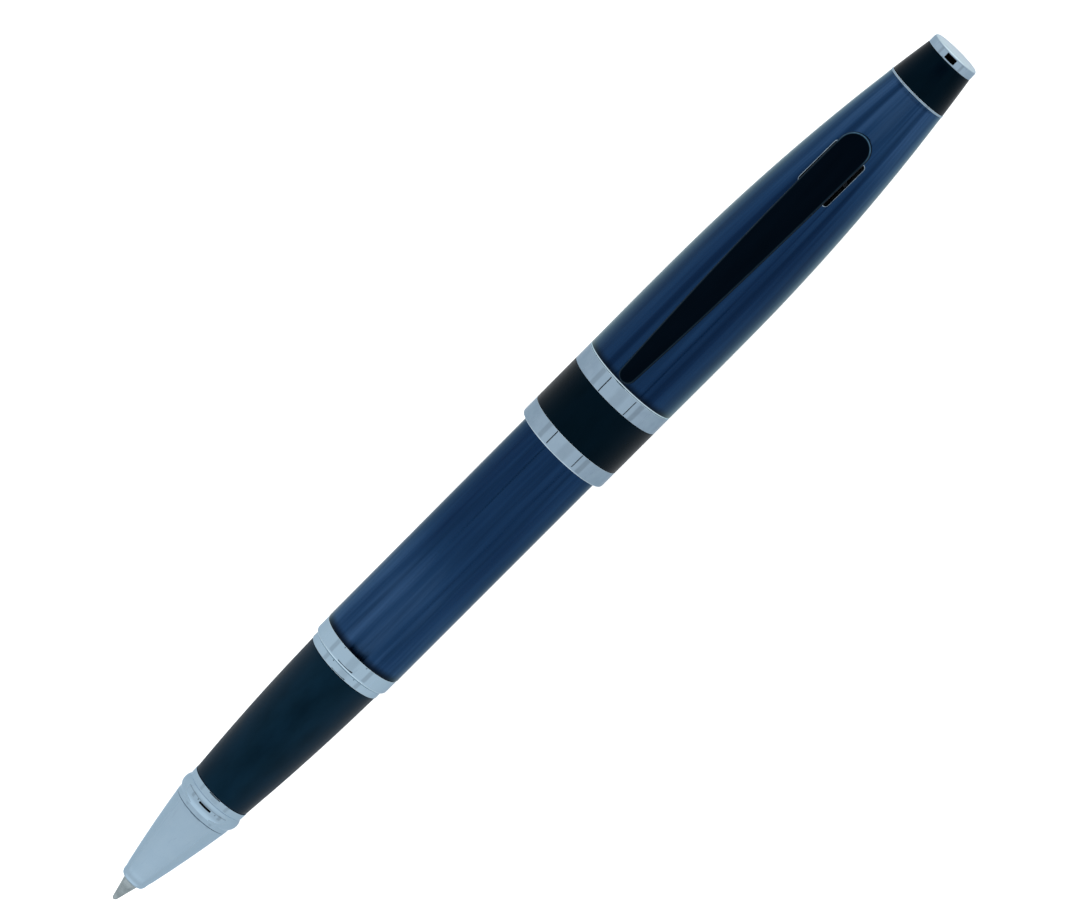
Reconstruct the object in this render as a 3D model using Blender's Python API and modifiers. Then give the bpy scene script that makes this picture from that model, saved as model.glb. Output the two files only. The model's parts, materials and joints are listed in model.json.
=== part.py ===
"""A capped rollerball pen that lies along X, with its cap posted on the barrel's tail.

+X runs from the writing tip to the finial and +Z is up, through the pocket clip. The origin is
under the middle of the pen, on the surface that its widest ring rests on.
Lengths are in millimetres. A station is a distance along the pen from the front of the ball.
"""

import math

import bmesh
import bpy
from mathutils import Matrix, Vector

MM = 0.001
LENGTH = 150.0
CAP_RADIUS = 6.69
BARREL_RADIUS = 5.85
AXIS_HEIGHT = CAP_RADIUS

SEGMENTS = 24
SMALL_SEGMENTS = 12
SEAT_GAP = 0.03
MERGE = 1e-6

# Outlines that sweep along a large circle: the station of its crest, the radius there, its radius
NOSE_ARC = (45.0, 6.23, 193.0)
GRIP_ARC = (48.0, 5.42, 334.0)
CAP_ARC = (105.6, CAP_RADIUS, 285.0)
TAIL_ARC = (84.0, BARREL_RADIUS, 379.0)

# Stations where one visible piece meets the next
NOSE_FRONT = 3.4
NOSE_END = 16.23
FRONT_RING_END = 19.95
GRIP_END = 42.2
SECTION_END = 43.3
BARREL_FRONT = 45.6
BARREL_END = 116.0
TAIL_END = 118.0
CAP_FRONT = 81.15
LIP_END = 83.75
BAND_END = 90.6
UPPER_RING_END = 93.25
SHELL_END = 143.05
TRIM_END = 143.34
COLLAR_END = 148.65

# Screw joint between section and barrel
THREAD_PITCH = 1.25
THREAD_TURNS = 4
THREAD_RADIUS = 4.45
THREAD_FRONT = 45.9
RIDGE_RADIUS = 0.26
GROOVE_RADIUS = 0.4
BUSHING_FRONT = 45.65
BUSHING_END = 52.4

# Writing ball and refill
BALL_RADIUS = 0.3
TIP_LENGTH = 9.0
REFILL_RADIUS = 3.05
REFILL_FRONT = 14.5
REFILL_END = 111.0

# Pocket clip
CLIP_FRONT = 93.8
CLIP_END = 135.8
CLIP_TIP_HALF_WIDTH = 1.12
CLIP_HALF_WIDTH = 2.16
CLIP_CREST = 112.0
CLIP_CREST_HEIGHT = 7.36
CLIP_THICKNESS = 0.9
PIVOT_STATION = 129.5
PIVOT_HEIGHT = 3.4
PIVOT_RADIUS = 0.5
BUMP_RADIUS = 0.5
SLOT_FRONT = 126.15
SLOT_END = 132.88
SLOT_HALF_WIDTH = 2.38
SLOT_CORNER = 0.4


def clear_scene():
    for thing in list(bpy.data.objects):
        bpy.data.objects.remove(thing, do_unlink=True)


def new_collection(name):
    group = bpy.data.collections.new(name)
    bpy.context.scene.collection.children.link(group)
    return group


def finish(name, colour, roughness, metallic):
    material = bpy.data.materials.new(name)
    material.use_nodes = True
    shader = material.node_tree.nodes["Principled BSDF"]
    shader.inputs["Base Color"].default_value = (*colour, 1.0)
    shader.inputs["Roughness"].default_value = roughness
    shader.inputs["Metallic"].default_value = metallic
    return material


def put(thing, material, group):
    """Files an object under its collection with its material."""
    for old in list(thing.users_collection):
        old.objects.unlink(thing)
    group.objects.link(thing)
    if material:
        thing.data.materials.append(material)
    return thing


def as_cutter(thing):
    put(thing, None, CUTTERS)
    thing.hide_render = True
    thing.display_type = "WIRE"
    return thing


def on_axis(thing):
    """Turns an object built about its own Z onto the pen's axis, with its zero at the ball's front."""
    thing.location = (-LENGTH / 2 * MM, 0, AXIS_HEIGHT * MM)
    thing.rotation_euler = (0, math.radians(90), 0)
    return thing


def sweep_radius(arc, station):
    """The radius of a long curved outline at a station."""
    crest, radius, arc_radius = arc
    offset = station - crest
    return radius - (arc_radius - math.sqrt(arc_radius**2 - offset**2))


def cap_radius(station):
    return sweep_radius(CAP_ARC, max(station, CAP_ARC[0]))


def tail_radius(station):
    return sweep_radius(TAIL_ARC, max(station, TAIL_ARC[0]))


def outline(radius_at, start, end, steps):
    """Points of a curved outline between two stations."""
    stations = [start + (end - start) * i / steps for i in range(steps + 1)]
    return [(station, radius_at(station)) for station in stations]


def rounding(station, radius, along, across, start, end, steps):
    """Points of an elliptical corner about a centre, from one angle to another in degrees."""
    points = []
    for i in range(steps + 1):
        angle = math.radians(start + (end - start) * i / steps)
        points.append((station + along * math.cos(angle), radius + across * math.sin(angle)))
    return points


def ring_outline(start, end, radius, front=0.0, back=0.0):
    """The outer side of a plain ring with rounded corners."""
    points = [(start, radius), (end, radius)]
    if front:
        points[:1] = rounding(start + front, radius - front, front, front, 180, 90, 2)
    if back:
        points[-1:] = rounding(end - back, radius - back, back, back, 90, 0, 2)
    return points


def turned(name, outer, inner, material, segments=SEGMENTS):
    """A lathe-turned piece. outer and inner both run from the tip end to the cap end."""
    section = list(reversed(outer)) + inner
    closed = bool(inner)
    mesh = bpy.data.meshes.new(name)
    count = len(section)
    edges = [(i, (i + 1) % count) for i in range(count if closed else count - 1)]
    mesh.from_pydata([(r * MM, 0, u * MM) for u, r in section], edges, [])
    piece = bpy.data.objects.new(name, mesh)
    put(piece, material, PARTS)
    spin = piece.modifiers.new("Turning", "SCREW")
    spin.angle = math.radians(360)
    spin.steps = segments
    spin.render_steps = segments
    spin.use_merge_vertices = True
    spin.merge_threshold = MERGE
    spin.use_smooth_shade = True
    return on_axis(piece)


def boolean(piece, other, operation):
    cut = piece.modifiers.new(operation.title(), "BOOLEAN")
    cut.operation = operation
    cut.object = other


def box_cutter(name, low, high):
    """A box between two corners given as station, y and height above the axis."""
    size = [b - a for a, b in zip(low, high)]
    middle = [(a + b) / 2 for a, b in zip(low, high)]
    bpy.ops.mesh.primitive_cube_add(size=1)
    box = bpy.context.object
    box.name = name
    box.data.transform(Matrix.Diagonal((*[s * MM for s in size], 1)))
    box.location = world(*middle)
    return as_cutter(box)


def round_upright_edges(box, radius):
    """Rounds the four upright edges of a box."""
    shape = bmesh.new()
    shape.from_mesh(box.data)
    upright = [e for e in shape.edges if abs(e.verts[0].co.z - e.verts[1].co.z) > radius * MM]
    bmesh.ops.bevel(shape, geom=upright, offset=radius * MM, segments=2, profile=0.5, affect="EDGES")
    shape.to_mesh(box.data)
    shape.free()


def cross_cutter(name, station, height, radius, half_length):
    """A cylinder that lies across the pen."""
    bpy.ops.mesh.primitive_cylinder_add(
        vertices=SMALL_SEGMENTS, radius=radius * MM, depth=2 * half_length * MM
    )
    rod = bpy.context.object
    rod.name = name
    rod.location = world(station, 0, height)
    rod.rotation_euler = (math.radians(90), 0, 0)
    return rod


def world(station, y, height):
    """Metres in the pen's frame, from a station, a sideways offset and a height above the axis."""
    return Vector(((station - LENGTH / 2) * MM, y * MM, (AXIS_HEIGHT + height) * MM))


def coil_points(radius, start, end, turns, per_turn):
    """Points along a right-hand coil about Z."""
    points = []
    count = round(turns * per_turn)
    for i in range(count + 1):
        angle = math.tau * i / per_turn
        rise = start + (end - start) * i / count
        points.append((radius * math.cos(angle), radius * math.sin(angle), rise))
    return points


def coil(name, points, wire_radius, sides=1):
    """A round wire along the points, as a closed mesh."""
    curve = bpy.data.curves.new(name, "CURVE")
    curve.dimensions = "3D"
    curve.bevel_depth = wire_radius * MM
    curve.bevel_resolution = sides
    curve.use_fill_caps = True
    spline = curve.splines.new("POLY")
    spline.points.add(len(points) - 1)
    for point, place in zip(spline.points, points):
        point.co = (*[c * MM for c in place], 1)
    path = bpy.data.objects.new(name + "_path", curve)
    bpy.context.scene.collection.objects.link(path)
    bpy.context.view_layer.update()
    mesh = bpy.data.meshes.new_from_object(path.evaluated_get(bpy.context.evaluated_depsgraph_get()))
    bpy.data.objects.remove(path, do_unlink=True)
    shape = bmesh.new()
    shape.from_mesh(mesh)
    bmesh.ops.remove_doubles(shape, verts=shape.verts, dist=MERGE)
    bmesh.ops.recalc_face_normals(shape, faces=shape.faces)
    shape.to_mesh(mesh)
    shape.free()
    wire = bpy.data.objects.new(name, mesh)
    bpy.context.scene.collection.objects.link(wire)
    return wire


# ---------------------------------------------------------------- refill


def build_ball():
    bpy.ops.mesh.primitive_uv_sphere_add(segments=12, ring_count=8, radius=BALL_RADIUS * MM)
    ball = bpy.context.object
    ball.name = "writing_ball"
    ball.rotation_euler = (0, math.radians(90), 0)
    ball.location = world(BALL_RADIUS, 0, 0)
    put(ball, CARBIDE, PARTS)
    ball.data.shade_smooth()


def build_refill_tip():
    """Cone with a socket that closes over the ball's equator, and a channel for the feed rod."""
    socket = rounding(BALL_RADIUS, 0, 0.32, 0.32, 110, 22, 6)
    channel = [(0.8, 0.12), (3.0, 0.12), (3.1, 0.5), (TIP_LENGTH, 0.5)]
    cone = [(0.2, 0.33), (3.37, 1.13), (3.7, 1.15), (TIP_LENGTH, 1.15)]
    turned("refill_tip", cone, socket + channel, TIP_STEEL)


def build_feed_holder():
    """Plastic nose of the refill: grips the tip in front and plugs the tube behind."""
    outer = [(7.3, 1.6), (10.8, 2.2), (13.9, 2.65), (14.3, 2.95), (REFILL_FRONT - SEAT_GAP, 2.95)]
    spigot = [(REFILL_FRONT - SEAT_GAP, 2.6), (18.0, 2.6)]
    inner = [(7.3, 1.18), (TIP_LENGTH + 0.05, 1.18), (TIP_LENGTH + 0.05, 0.5), (18.0, 0.5)]
    turned("refill_feed_holder", outer + spigot, inner, HOLDER_PLASTIC)


def build_refill_body():
    tube_end = REFILL_END - 1.5
    tube = [(REFILL_FRONT, REFILL_RADIUS), (tube_end, REFILL_RADIUS)]
    bore = [(REFILL_FRONT, 2.65), (tube_end, 2.65)]
    turned("refill_tube", tube, bore, REFILL_METAL)
    core = [(19.0, 2.3), (19.3, 2.55), (104.0, 2.55)]
    core_bore = [(19.0, 0.5), (31.0, 0.5), (31.5, 0.3), (104.0, 0.3)]
    turned("ink_reservoir", core, core_bore, FIBRE)
    rod = [(3.3, 0), (3.3, 0.25), (3.6, 0.42), (30.5, 0.42), (30.5, 0)]
    turned("ink_feed_rod", rod, [], FIBRE, 12)
    plug = [(105.5, 0), (105.5, 2.5), (105.8, 2.6), (tube_end + SEAT_GAP, 2.6)]
    plug += [(tube_end + SEAT_GAP, REFILL_RADIUS), (REFILL_END - 0.3, REFILL_RADIUS)]
    plug += [(REFILL_END, 2.75), (REFILL_END, 0)]
    turned("refill_tail_plug", plug, [], HOLDER_PLASTIC)


# ---------------------------------------------------------------- section


def build_nose():
    """Plated cone: the tip shows through its front, its tail is a spigot inside the grip."""
    lip = rounding(NOSE_FRONT + 1.0, 1.35, 1.0, 0.53, 180, 90, 3)
    cone = outline(lambda u: sweep_radius(NOSE_ARC, u), NOSE_FRONT + 1.8, NOSE_END, 4)
    spigot = [(NOSE_END, 3.65), (21.0, 3.65)]
    throat = [(NOSE_FRONT, 1.22), (6.4, 1.22), (6.9, 1.75)]
    bore = throat + [(10.5, 2.35), (13.8, 2.8), (14.2, 3.2), (21.0, 3.2)]
    turned("nose_cone", lip + cone + spigot, bore, CHROME)


def build_front_ring():
    """Collar, then a raised bead, then a neck that meets the grip."""
    start = NOSE_END + 0.05
    end = FRONT_RING_END - SEAT_GAP
    collar = [(start, 4.09), (16.9, 4.12)]
    bead = rounding(17.93, 2.99, 1.51, 1.51, 130, 50, 4)
    neck = [(18.97, 4.26), (end, 4.3)]
    turned("front_ring", collar + bead + neck, [(start, 3.7), (end, 3.7)], CHROME)


def build_grip():
    outer = outline(lambda u: sweep_radius(GRIP_ARC, u), FRONT_RING_END, GRIP_END, 4)
    bore = [(FRONT_RING_END, 3.72), (GRIP_END, 3.72)]
    turned("section_grip", outer, bore, GRIP_BLACK)


def build_section_rear_ring():
    start = GRIP_END + SEAT_GAP
    end = SECTION_END - SEAT_GAP
    outer = ring_outline(start, end, 5.45, 0.12)
    turned("section_rear_ring", outer, [(start, 3.72), (end, 3.72)], CHROME)


def build_section_thread_tube():
    """Liner of the grip. Its tenon behind the section has a seal groove and the male thread."""
    tenon_end = 51.4
    neck = [(21.05, 3.65), (SECTION_END + 0.02, 3.65)]
    shoulder = [(SECTION_END + 0.02, 4.45), (43.6, 4.45), (43.6, 3.8), (44.7, 3.8), (44.7, THREAD_RADIUS)]
    tail = [(tenon_end - 0.3, THREAD_RADIUS), (tenon_end, THREAD_RADIUS - 0.3)]
    bore = [(21.05, 3.2), (tenon_end, 3.2)]
    tube = turned("section_thread_tube", neck + shoulder + tail, bore, BRASS)
    end = THREAD_FRONT + THREAD_PITCH * THREAD_TURNS
    points = coil_points(THREAD_RADIUS, THREAD_FRONT, end, THREAD_TURNS, SEGMENTS)
    ridge = as_cutter(on_axis(coil("thread_ridge", points, RIDGE_RADIUS)))
    boolean(tube, ridge, "UNION")


def build_o_ring():
    bpy.ops.mesh.primitive_torus_add(
        major_segments=SEGMENTS,
        minor_segments=8,
        major_radius=4.3 * MM,
        minor_radius=0.42 * MM,
    )
    seal = bpy.context.object
    seal.name = "section_o_ring"
    seal.location = world(44.15, 0, 0)
    seal.rotation_euler = (0, math.radians(90), 0)
    put(seal, RUBBER, PARTS)
    seal.data.shade_smooth()


# ---------------------------------------------------------------- barrel


def build_barrel_front_ring():
    start = SECTION_END + SEAT_GAP
    end = BARREL_FRONT - SEAT_GAP
    outer = ring_outline(start, end, BARREL_RADIUS - 0.03, 0.4, 0.08)
    turned("barrel_front_ring", outer, [(start, 4.85), (end, 4.85)], CHROME)


def build_thread_bushing():
    """Metal nut inside the barrel's mouth, grooved to match the ridge at any turn."""
    outer = [(BUSHING_FRONT, 5.35), (BUSHING_END, 5.35)]
    inner = [(BUSHING_FRONT, 4.57), (BUSHING_END, 4.57)]
    nut = turned("barrel_thread_bushing", outer, inner, BRASS)
    start = THREAD_FRONT - THREAD_PITCH
    turns = THREAD_TURNS + 3
    points = coil_points(THREAD_RADIUS, start, start + turns * THREAD_PITCH, turns, SEGMENTS)
    groove = as_cutter(on_axis(coil("thread_groove", points, GROOVE_RADIUS)))
    boolean(nut, groove, "DIFFERENCE")


def build_barrel_tube():
    """Straight in front of the cap's lip, then drawn in towards the tail so that the cap posts on it."""
    wall = 0.75
    outer = [(BARREL_FRONT, BARREL_RADIUS)] + outline(tail_radius, TAIL_ARC[0], BARREL_END, 4)
    mouth = [(BARREL_FRONT, 5.4), (BUSHING_END + 0.2, 5.4), (BUSHING_END + 0.2, BARREL_RADIUS - wall)]
    bore = outline(lambda u: tail_radius(u) - wall, TAIL_ARC[0], BARREL_END, 4)
    turned("barrel_tube", outer, mouth + bore, BLUE)


def build_barrel_end_plug():
    """Domed tail with a hollow spigot that seats the refill spring."""
    seat = tail_radius(BARREL_END)
    start = BARREL_END + SEAT_GAP
    pocket = [(116.6, 0), (116.6, 2.7), (112.5, 2.7)]
    spigot = [(112.5, 3.3), (112.8, seat - 0.8), (start, seat - 0.8)]
    dome = rounding(start, 0, TAIL_END - start, seat - 0.04, 90, 0, 4)
    turned("barrel_end_plug", pocket + spigot + dome, [], BLACK_PLASTIC)


def build_refill_spring():
    points = coil_points(2.2, 111.4, 116.3, 4, 10)
    spring = on_axis(coil("refill_spring", points, 0.22))
    put(spring, SPRING_STEEL, PARTS)


# ---------------------------------------------------------------- cap


def build_cap_inner_tube():
    """Metal tube that the rings and the band are pressed over."""
    start = CAP_FRONT + 0.65
    outer = [(start, 6.2), (100.5, 6.2)]
    turned("cap_inner_tube", outer, [(start, 5.98), (100.5, 5.98)], BRASS)


def build_cap_rings():
    bore = 6.24
    lip_end = LIP_END - SEAT_GAP
    lip = ring_outline(CAP_FRONT, lip_end, CAP_RADIUS, 0.33, 0.06)
    step = CAP_FRONT + 0.6
    turned("cap_lip_ring", lip, [(CAP_FRONT, 5.98), (step, 5.98), (step, bore), (lip_end, bore)], CHROME)
    band_end = BAND_END - SEAT_GAP
    band = ring_outline(LIP_END, band_end, CAP_RADIUS)
    turned("cap_band", band, [(LIP_END, bore), (band_end, bore)], BLACK_LACQUER)
    ring_end = UPPER_RING_END - SEAT_GAP
    ring = ring_outline(BAND_END, ring_end, CAP_RADIUS, 0.06, 0.1)
    turned("cap_upper_ring", ring, [(BAND_END, bore), (ring_end, bore)], CHROME)


def build_cap_tube():
    """Shell that runs straight, then draws in to the collar, with a slot for the clip's root."""
    wall = 0.55
    outer = [(UPPER_RING_END, CAP_RADIUS)] + outline(cap_radius, CAP_ARC[0], SHELL_END, 6)
    front = [(UPPER_RING_END, 6.24), (101.4, 6.24), (101.4, 6.0), (118.0, 6.0)]
    back = outline(lambda u: cap_radius(u) - wall, 121.0, SHELL_END, 3)
    shell = turned("cap_tube", outer, front + back, BLUE)
    slot = box_cutter(
        "clip_slot", (SLOT_FRONT, -SLOT_HALF_WIDTH, 3.5), (SLOT_END, SLOT_HALF_WIDTH, CAP_RADIUS + 2)
    )
    round_upright_edges(slot, SLOT_CORNER)
    boolean(shell, slot, "DIFFERENCE")


def build_cap_liner():
    """Plastic sleeve that grips the posted barrel. Its flange is held between tube and shell."""
    flange = [(100.6, 6.14), (101.3, 6.14)]
    sleeve = [(101.3, 5.88), (117.0, 5.88)]
    turned("cap_liner", flange + sleeve, [(100.6, 5.57), (117.0, 5.57)], LINER_PLASTIC)


def build_clip_carrier():
    """Block inside the cap's top: a pocket for the clip's root and a bore for the finial's stud."""
    fit = 0.62
    front, back = 122.0, 141.2
    body = [(front, 0)] + outline(lambda u: cap_radius(u) - fit, front, back, 4)
    bore = [(back, 1.28), (134.4, 1.28), (134.4, 0)]
    carrier = turned("clip_carrier", body + bore, [], BLACK_PLASTIC)
    pocket = box_cutter("clip_pocket", (126.0, -2.3, 2.0), (133.0, 2.3, CAP_RADIUS + 2))
    boolean(carrier, pocket, "DIFFERENCE")
    hole = as_cutter(cross_cutter("pin_hole", PIVOT_STATION, PIVOT_HEIGHT, PIVOT_RADIUS + 0.04, 8))
    boolean(carrier, hole, "DIFFERENCE")


def build_pivot_pin():
    pin = cross_cutter("clip_pivot_pin", PIVOT_STATION, PIVOT_HEIGHT, PIVOT_RADIUS, 3.4)
    put(pin, SPRING_STEEL, PARTS)


def build_cap_top():
    """Pale trim line, black collar, plated finial and the stud that clamps them together."""
    trim = [(SHELL_END + 0.02, cap_radius(SHELL_END) + 0.05), (TRIM_END, cap_radius(TRIM_END) + 0.05)]
    turned("cap_top_trim", trim, [(SHELL_END + 0.02, 3.62), (TRIM_END, 3.62)], CHROME)
    collar_front = TRIM_END + SEAT_GAP
    collar_end = COLLAR_END - SEAT_GAP
    outer = [(141.5, 3.5), (collar_front, 3.5)] + outline(cap_radius, collar_front, collar_end, 3)
    turned("cap_top_collar", outer, [(141.5, 1.3), (collar_end, 1.3)], BLACK_LACQUER)
    rim = cap_radius(COLLAR_END)
    button = [(149.2, 0), (149.2, 1.3), (COLLAR_END, 1.3), (COLLAR_END, rim)]
    button += rounding(LENGTH - 0.4, rim - 0.42, 0.4, 0.4, 90, 0, 3) + [(LENGTH, 0)]
    turned("cap_finial", button, [], CHROME)
    stud = [(134.5, 0), (134.5, 1.0), (134.7, 1.2), (149.0, 1.2), (149.0, 0)]
    turned("finial_screw", stud, [], SPRING_STEEL, SMALL_SEGMENTS)


# ---------------------------------------------------------------- clip


def clip_underside(station):
    """Height of the clip's underside above the axis: an arch that follows the shell with a gap."""
    spread = 1200.0 if station < CLIP_CREST else 352.0
    return CLIP_CREST_HEIGHT - (station - CLIP_CREST) ** 2 / spread


def clip_half_width(station):
    """A narrow round tip that widens to a full round end."""
    tip_centre = CLIP_FRONT + CLIP_TIP_HALF_WIDTH
    end_centre = CLIP_END - CLIP_HALF_WIDTH
    if station < tip_centre:
        return math.sqrt(max(CLIP_TIP_HALF_WIDTH**2 - (tip_centre - station) ** 2, 0))
    if station > end_centre:
        return math.sqrt(max(CLIP_HALF_WIDTH**2 - (station - end_centre) ** 2, 0))
    taper = (end_centre - station) / (end_centre - tip_centre)
    return CLIP_HALF_WIDTH - (CLIP_HALF_WIDTH - CLIP_TIP_HALF_WIDTH) * taper**2


def clip_stations():
    tip_centre = CLIP_FRONT + CLIP_TIP_HALF_WIDTH
    end_centre = CLIP_END - CLIP_HALF_WIDTH
    angles = [math.radians(a) for a in (15, 40, 65)]
    tip = [tip_centre - CLIP_TIP_HALF_WIDTH * math.cos(a) for a in angles]
    blade = [tip_centre + (end_centre - tip_centre) * i / 8 for i in range(9)]
    end = [end_centre + CLIP_HALF_WIDTH * math.cos(a) for a in reversed(angles)]
    return tip + blade + end


def clip_section(station):
    """Six corners across the clip: flat below, with its two upper edges broken."""
    half = clip_half_width(station)
    low = clip_underside(station)
    high = low + CLIP_THICKNESS
    edge = min(0.3, half * 0.4)
    side = [(half, low), (half, high - edge), (half - edge, high)]
    across = side + [(-y, z) for y, z in reversed(side)]
    return [world(station, y, z) - world(PIVOT_STATION, 0, PIVOT_HEIGHT) for y, z in across]


def build_clip():
    shape = bmesh.new()
    rings = [[shape.verts.new(point) for point in clip_section(u)] for u in clip_stations()]
    for near, far in zip(rings, rings[1:]):
        for i in range(len(near)):
            j = (i + 1) % len(near)
            shape.faces.new((near[i], near[j], far[j], far[i]))
    shape.faces.new(list(reversed(rings[0])))
    shape.faces.new(rings[-1])
    bmesh.ops.recalc_face_normals(shape, faces=shape.faces)
    mesh = bpy.data.meshes.new("clip")
    shape.to_mesh(mesh)
    shape.free()
    clip = bpy.data.objects.new("clip", mesh)
    put(clip, CLIP_BLACK, PARTS)
    pivot = bpy.data.objects.new("clip_pivot", None)
    PARTS.objects.link(pivot)
    pivot.location = world(PIVOT_STATION, 0, PIVOT_HEIGHT)
    clip.parent = pivot
    for side in (-1, 1):
        low, high = sorted((side * 1.35, side * 1.95))
        cheek = box_cutter(f"clip_cheek_{low:.0f}", (126.6, low, 2.6), (132.4, high, 6.9))
        boolean(clip, cheek, "UNION")
    hole = as_cutter(cross_cutter("clip_hole", PIVOT_STATION, PIVOT_HEIGHT, PIVOT_RADIUS + 0.06, 6))
    boolean(clip, hole, "DIFFERENCE")
    bpy.ops.mesh.primitive_uv_sphere_add(segments=12, ring_count=8, radius=BUMP_RADIUS * MM)
    bump = as_cutter(bpy.context.object)
    bump.name = "clip_bump"
    bump.location = world(CLIP_FRONT + 2.4, 0, CAP_RADIUS + 0.06 + BUMP_RADIUS)
    boolean(clip, bump, "UNION")


def build_clip_spring():
    """Small upright coil that pushes the clip's tail up, so that its tip stays down."""
    station = 131.6
    points = coil_points(0.85, 2.2, clip_underside(station) - 0.2, 4, 10)
    spring = coil("clip_spring", points, 0.15)
    spring.location = world(station, 0, 0)
    put(spring, SPRING_STEEL, PARTS)


clear_scene()
PARTS = new_collection("rollerball_pen")
CUTTERS = new_collection("cutters")

CHROME = finish("chrome", (0.36, 0.43, 0.48), 0.16, 1.0)
TIP_STEEL = finish("tip_steel", (0.27, 0.31, 0.34), 0.3, 1.0)
CARBIDE = finish("carbide", (0.16, 0.17, 0.18), 0.25, 1.0)
GRIP_BLACK = finish("grip_black", (0.006, 0.012, 0.02), 0.45, 0.0)
BLACK_LACQUER = finish("black_lacquer", (0.003, 0.006, 0.011), 0.3, 0.0)
BLUE = finish("blue_lacquer", (0.012, 0.035, 0.09), 0.35, 0.6)
CLIP_BLACK = finish("clip_black", (0.002, 0.004, 0.008), 0.35, 0.3)
BRASS = finish("brass", (0.6, 0.42, 0.16), 0.35, 1.0)
BLACK_PLASTIC = finish("black_plastic", (0.02, 0.02, 0.022), 0.5, 0.0)
LINER_PLASTIC = finish("liner_plastic", (0.07, 0.07, 0.075), 0.55, 0.0)
HOLDER_PLASTIC = finish("holder_plastic", (0.03, 0.05, 0.16), 0.4, 0.0)
REFILL_METAL = finish("refill_metal", (0.55, 0.56, 0.58), 0.3, 1.0)
FIBRE = finish("ink_fibre", (0.02, 0.04, 0.2), 0.9, 0.0)
RUBBER = finish("rubber", (0.01, 0.01, 0.01), 0.7, 0.0)
SPRING_STEEL = finish("spring_steel", (0.5, 0.5, 0.52), 0.3, 1.0)

build_ball()
build_refill_tip()
build_feed_holder()
build_refill_body()
build_nose()
build_front_ring()
build_grip()
build_section_rear_ring()
build_section_thread_tube()
build_o_ring()
build_barrel_front_ring()
build_thread_bushing()
build_barrel_tube()
build_barrel_end_plug()
build_refill_spring()
build_cap_inner_tube()
build_cap_rings()
build_cap_tube()
build_cap_liner()
build_clip_carrier()
build_pivot_pin()
build_cap_top()
build_clip()
build_clip_spring()
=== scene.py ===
"""Looks of a posted rollerball pen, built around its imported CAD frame.

Every turned piece is spun again at high resolution from the outline that its CAD node has below the
pen's axis. The clip, the springs, the slot and the threads are built as their own fine meshes.
Lengths in this script are in millimetres unless a name says otherwise; the frame is in metres.
"""

import json
import math

import bmesh
import bpy
from mathutils import Matrix, Vector

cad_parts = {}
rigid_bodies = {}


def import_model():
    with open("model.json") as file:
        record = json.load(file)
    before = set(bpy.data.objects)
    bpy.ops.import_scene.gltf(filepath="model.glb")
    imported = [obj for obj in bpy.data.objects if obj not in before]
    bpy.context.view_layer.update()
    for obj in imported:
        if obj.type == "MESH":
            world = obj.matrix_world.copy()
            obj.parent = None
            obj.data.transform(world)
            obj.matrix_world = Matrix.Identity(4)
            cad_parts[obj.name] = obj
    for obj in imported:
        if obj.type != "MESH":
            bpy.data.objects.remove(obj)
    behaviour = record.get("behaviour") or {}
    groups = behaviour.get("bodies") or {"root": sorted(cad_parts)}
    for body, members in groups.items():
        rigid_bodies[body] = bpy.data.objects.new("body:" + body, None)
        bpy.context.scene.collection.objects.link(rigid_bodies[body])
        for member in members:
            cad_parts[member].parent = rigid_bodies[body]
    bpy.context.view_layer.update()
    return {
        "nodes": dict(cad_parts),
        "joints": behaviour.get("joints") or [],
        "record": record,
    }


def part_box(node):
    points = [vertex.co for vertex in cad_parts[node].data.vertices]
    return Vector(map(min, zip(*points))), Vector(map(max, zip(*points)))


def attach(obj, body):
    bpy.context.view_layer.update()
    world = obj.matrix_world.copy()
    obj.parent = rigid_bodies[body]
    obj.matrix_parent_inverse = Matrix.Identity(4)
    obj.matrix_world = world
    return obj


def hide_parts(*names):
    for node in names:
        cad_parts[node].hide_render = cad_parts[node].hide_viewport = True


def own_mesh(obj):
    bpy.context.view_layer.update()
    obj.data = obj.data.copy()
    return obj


for leftover in list(bpy.data.objects):
    bpy.data.objects.remove(leftover, do_unlink=True)

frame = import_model()

MM = 0.001
NODES = frame["nodes"]
BODY_OF = {
    node: body
    for body, members in frame["record"]["behaviour"]["bodies"].items()
    for node in members
}
SLOT_OF = {row["node"]: row["material_slot"] for row in frame["record"]["subparts"]}
JOINTS = {joint["name"]: joint for joint in frame["joints"]}
AXIS_Z = frame["record"]["mounts"][0]["pos_m"][2] / MM

CORNER = math.radians(50)  # an outline that turns more than this has a corner
STRAIGHT = 0.004  # an outline that turns less than this, in radians, runs straight on
SHARP_EDGE = math.radians(32)  # faces that meet at more than this are shaded apart
EDGE_ROUNDING = 0.1
CORNER_SHARE = 0.42  # the most of a side that the rounding of one corner takes up
SUPPORT = 0.12  # distance from a straight stretch's ends to its first and last point inside
LONG_SIDE = 3.0  # how many times longer a side is when it sets the direction by itself
LONGEST_STEP = 2.5
CURVE_STEP = 0.5
FEWEST_STEPS, MOST_STEPS = 4, 12  # how many steps a curved stretch gets
ON_PLANE = 0.002  # how far off the outline's plane a CAD point may lie
WELD = 1e-4  # points closer than this become one


def box_mm(node):
    """Lowest and highest corner of a CAD node, in millimetres."""
    low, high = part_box(node)
    return low / MM, high / MM


# ---------------------------------------------------------------- outlines


def cad_outline(node):
    """How the points (x, radius) of a node's outline are joined, read in the plane below the axis."""
    mesh = NODES[node].data
    place = {}
    for vertex in mesh.vertices:
        x, y, z = vertex.co / MM
        if abs(y) < ON_PLANE and z < AXIS_Z + ON_PLANE / 2:
            place[vertex.index] = (round(x, 3), max(round(AXIS_Z - z, 3), 0.0))
    links = {}
    for edge in mesh.edges:
        ends = [place.get(i) for i in edge.vertices]
        if None not in ends and ends[0] != ends[1]:
            links.setdefault(ends[0], set()).add(ends[1])
            links.setdefault(ends[1], set()).add(ends[0])
    return links


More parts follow.
